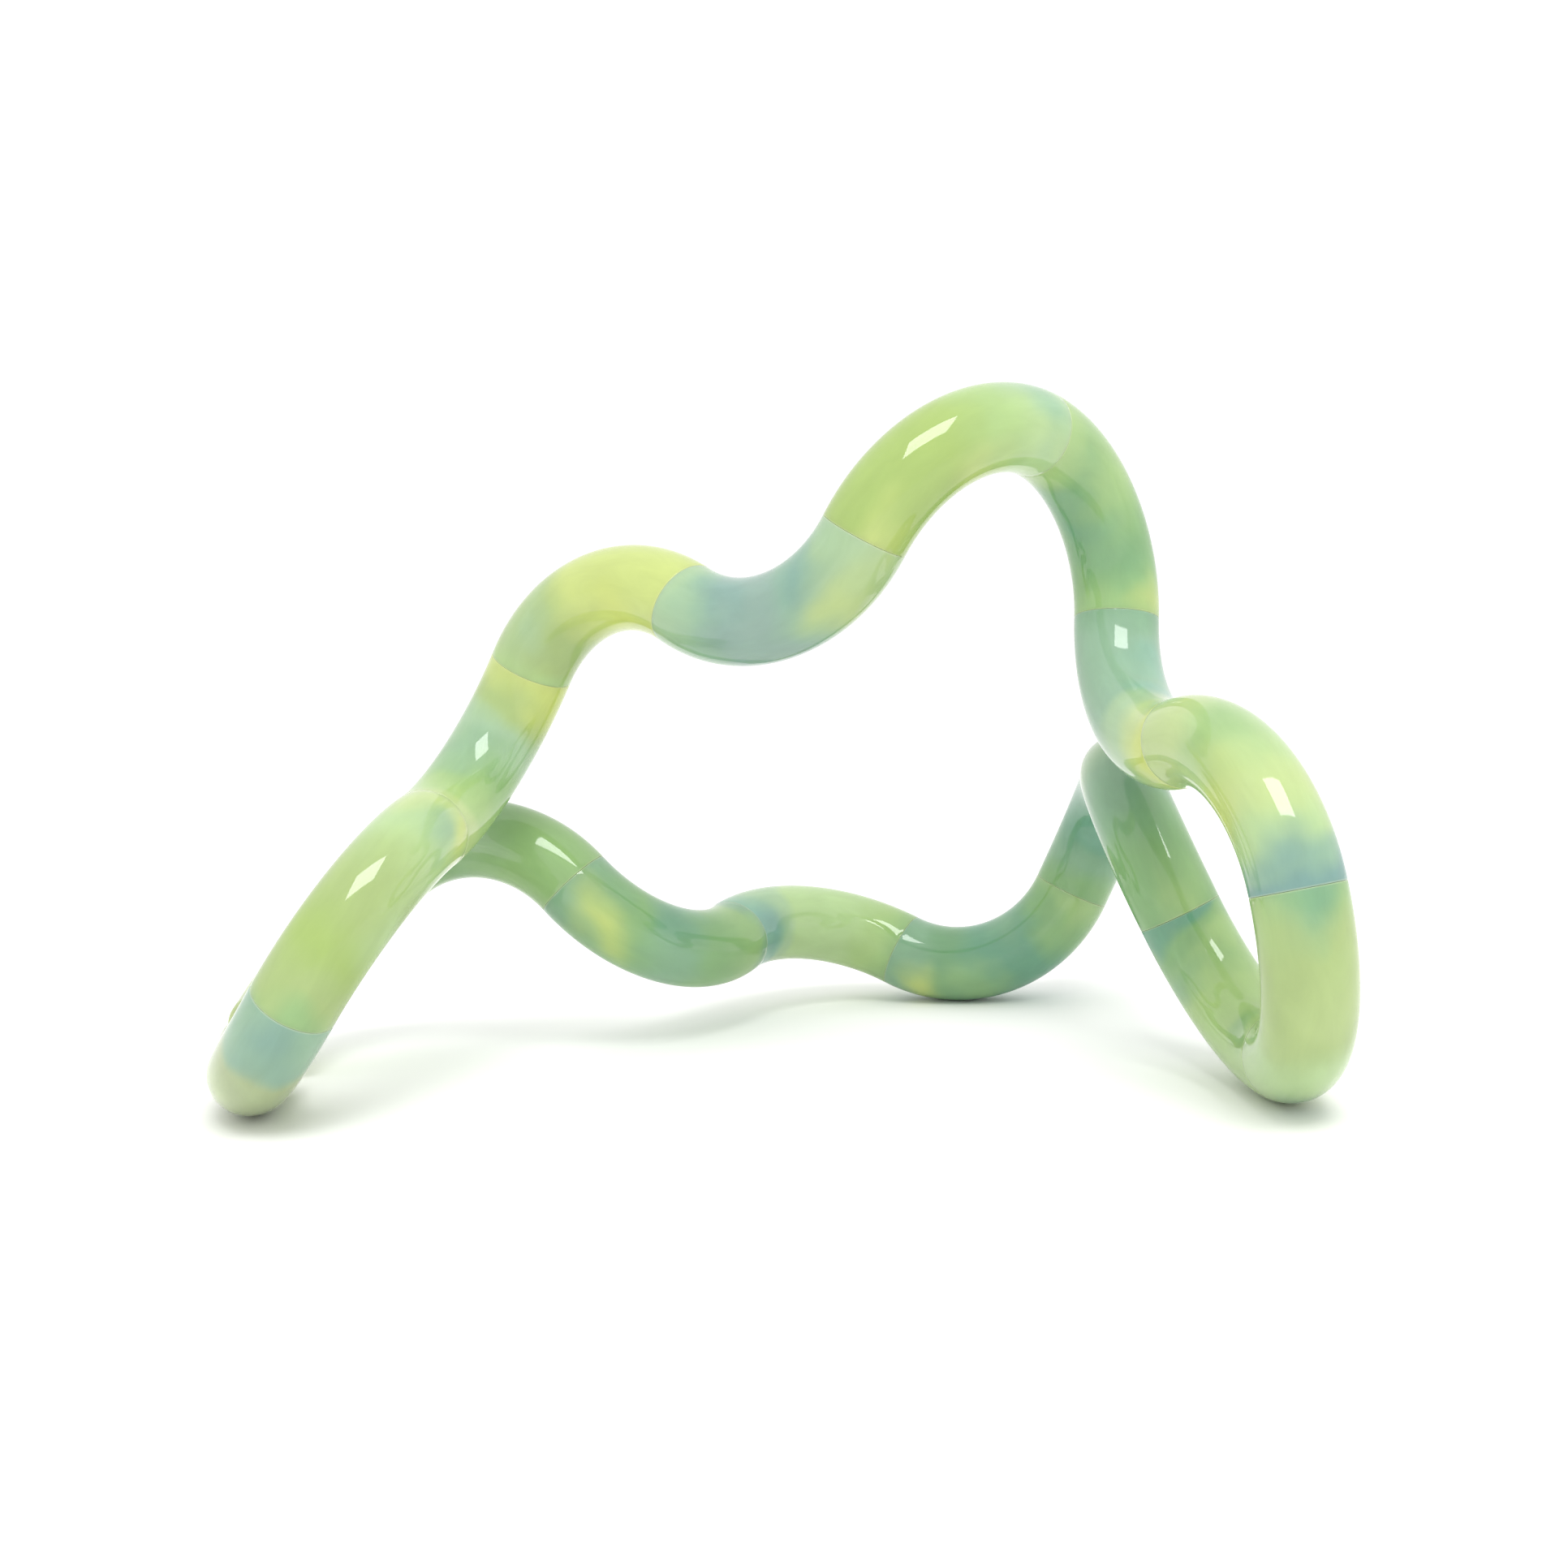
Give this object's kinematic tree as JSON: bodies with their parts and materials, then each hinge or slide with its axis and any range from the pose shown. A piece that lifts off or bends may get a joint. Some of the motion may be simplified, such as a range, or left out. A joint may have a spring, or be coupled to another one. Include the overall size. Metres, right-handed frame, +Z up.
{
  "type": "twisty snake puzzle",
  "caption": "Twistable loop of equal quarter-ring plastic links joined by snap pegs that turn without stops, folded so that it stands on three feet.",
  "frame": {"origin": "under the middle of the loop's box, on the surface that it stands on", "axes": "+Z up, +X along the long low run behind, towards the small ring, and +Y away from the front"},
  "size_m": [0.1446, 0.098, 0.0892],
  "materials": {
    "lime_plastic": "high gloss, milky translucent",
    "green_plastic": "high gloss, milky translucent",
    "mint_plastic": "high gloss, milky translucent",
    "teal_plastic": "high gloss, milky translucent"
  },
  "bodies": {
    "link_01": {"link_01": "mint_plastic"},
    "link_02": {"link_02": "lime_plastic"},
    "link_03": {"link_03": "lime_plastic"},
    "link_04": {"link_04": "lime_plastic"},
    "link_05": {"link_05": "teal_plastic"},
    "link_06": {"link_06": "lime_plastic"},
    "link_07": {"link_07": "green_plastic"},
    "link_08": {"link_08": "teal_plastic"},
    "link_09": {"link_09": "mint_plastic"},
    "link_10": {"link_10": "lime_plastic"},
    "link_11": {"link_11": "green_plastic"},
    "link_12": {"link_12": "green_plastic"},
    "link_13": {"link_13": "teal_plastic"},
    "link_14": {"link_14": "green_plastic"},
    "link_15": {"link_15": "lime_plastic"},
    "link_16": {"link_16": "green_plastic"},
    "link_17": {"link_17": "green_plastic"},
    "link_18": {"link_18": "teal_plastic"}
  },
  "joints": [
    {"name": "joint_01", "type": "hinge", "parent": "link_02", "child": "link_01", "pos_m": [-0.05433, -0.02294, 0.01733], "axis": [-0.5548, 0.1943, -0.809], "continuous": true},
    {"name": "joint_02", "type": "hinge", "parent": "link_03", "child": "link_02", "pos_m": [-0.04004, -0.00741, 0.03573], "axis": [-0.1674, -0.9785, -0.1202], "range_deg": [-185, 160]},
    {"name": "joint_03", "type": "hinge", "parent": "link_04", "child": "link_03", "pos_m": [-0.02779, 0.00831, 0.0554], "axis": [0.4513, -0.1844, 0.8731], "range_deg": [-10, 70]},
    {"name": "joint_04", "type": "hinge", "parent": "link_05", "child": "link_04", "pos_m": [-0.00528, -0.00633, 0.06335], "axis": [0.6855, -0.5548, -0.4715], "range_deg": [-270, 0]},
    {"name": "joint_05", "type": "hinge", "parent": "link_06", "child": "link_05", "pos_m": [0.01818, -0.01955, 0.07102], "axis": [0.4994, -0.113, 0.859], "range_deg": [0, 220]},
    {"name": "joint_06", "type": "hinge", "parent": "link_07", "child": "link_06", "pos_m": [0.04035, -0.00715, 0.08282], "axis": [-0.6201, -0.739, 0.2632], "range_deg": [0, 350]},
    {"name": "joint_07", "type": "hinge", "parent": "link_08", "child": "link_07", "pos_m": [0.05086, 0.00219, 0.05861], "axis": [-0.0893, -0.2669, -0.9596], "range_deg": [-330, 0]},
    {"name": "joint_08", "type": "hinge", "parent": "link_09", "child": "link_08", "pos_m": [0.05567, -0.02123, 0.04404], "axis": [-0.3324, 0.9162, -0.2239], "range_deg": [-125, 80]},
    {"name": "joint_09", "type": "hinge", "parent": "link_10", "child": "link_09", "pos_m": [0.06504, -0.04307, 0.02922], "axis": [-0.1405, 0.1866, 0.9723], "range_deg": [0, 330]},
    {"name": "joint_10", "type": "hinge", "parent": "link_10", "child": "link_11", "pos_m": [0.06624, -0.02742, 0.00603], "axis": [-0.0797, 0.9768, -0.199], "continuous": true},
    {"name": "joint_11", "type": "hinge", "parent": "link_11", "child": "link_12", "pos_m": [0.05692, -0.00505, 0.02006], "axis": [-0.3912, 0.153, 0.9075], "range_deg": [-80, 0]},
    {"name": "joint_12", "type": "hinge", "parent": "link_12", "child": "link_13", "pos_m": [0.05235, 0.01743, 0.03612], "axis": [0.1603, 0.9823, -0.0965], "range_deg": [-330, 10]},
    {"name": "joint_13", "type": "hinge", "parent": "link_13", "child": "link_14", "pos_m": [0.04645, 0.03663, 0.01661], "axis": [-0.4581, -0.0125, -0.8888], "range_deg": [0, 330]},
    {"name": "joint_14", "type": "hinge", "parent": "link_14", "child": "link_15", "pos_m": [0.02058, 0.04242, 0.00758], "axis": [-0.8483, 0.305, 0.4329], "continuous": true},
    {"name": "joint_15", "type": "hinge", "parent": "link_15", "child": "link_16", "pos_m": [-0.00426, 0.03066, 0.01293], "axis": [-0.4063, -0.8991, -0.1627], "range_deg": [-15, 250]},
    {"name": "joint_16", "type": "hinge", "parent": "link_16", "child": "link_17", "pos_m": [-0.02514, 0.01598, 0.02446], "axis": [-0.6481, 0.1581, 0.7449], "range_deg": [-165, 0]},
    {"name": "joint_17", "type": "hinge", "parent": "link_17", "child": "link_18", "pos_m": [-0.05229, 0.02265, 0.026], "axis": [-0.7232, 0.1785, -0.6671], "continuous": true}
  ]
}
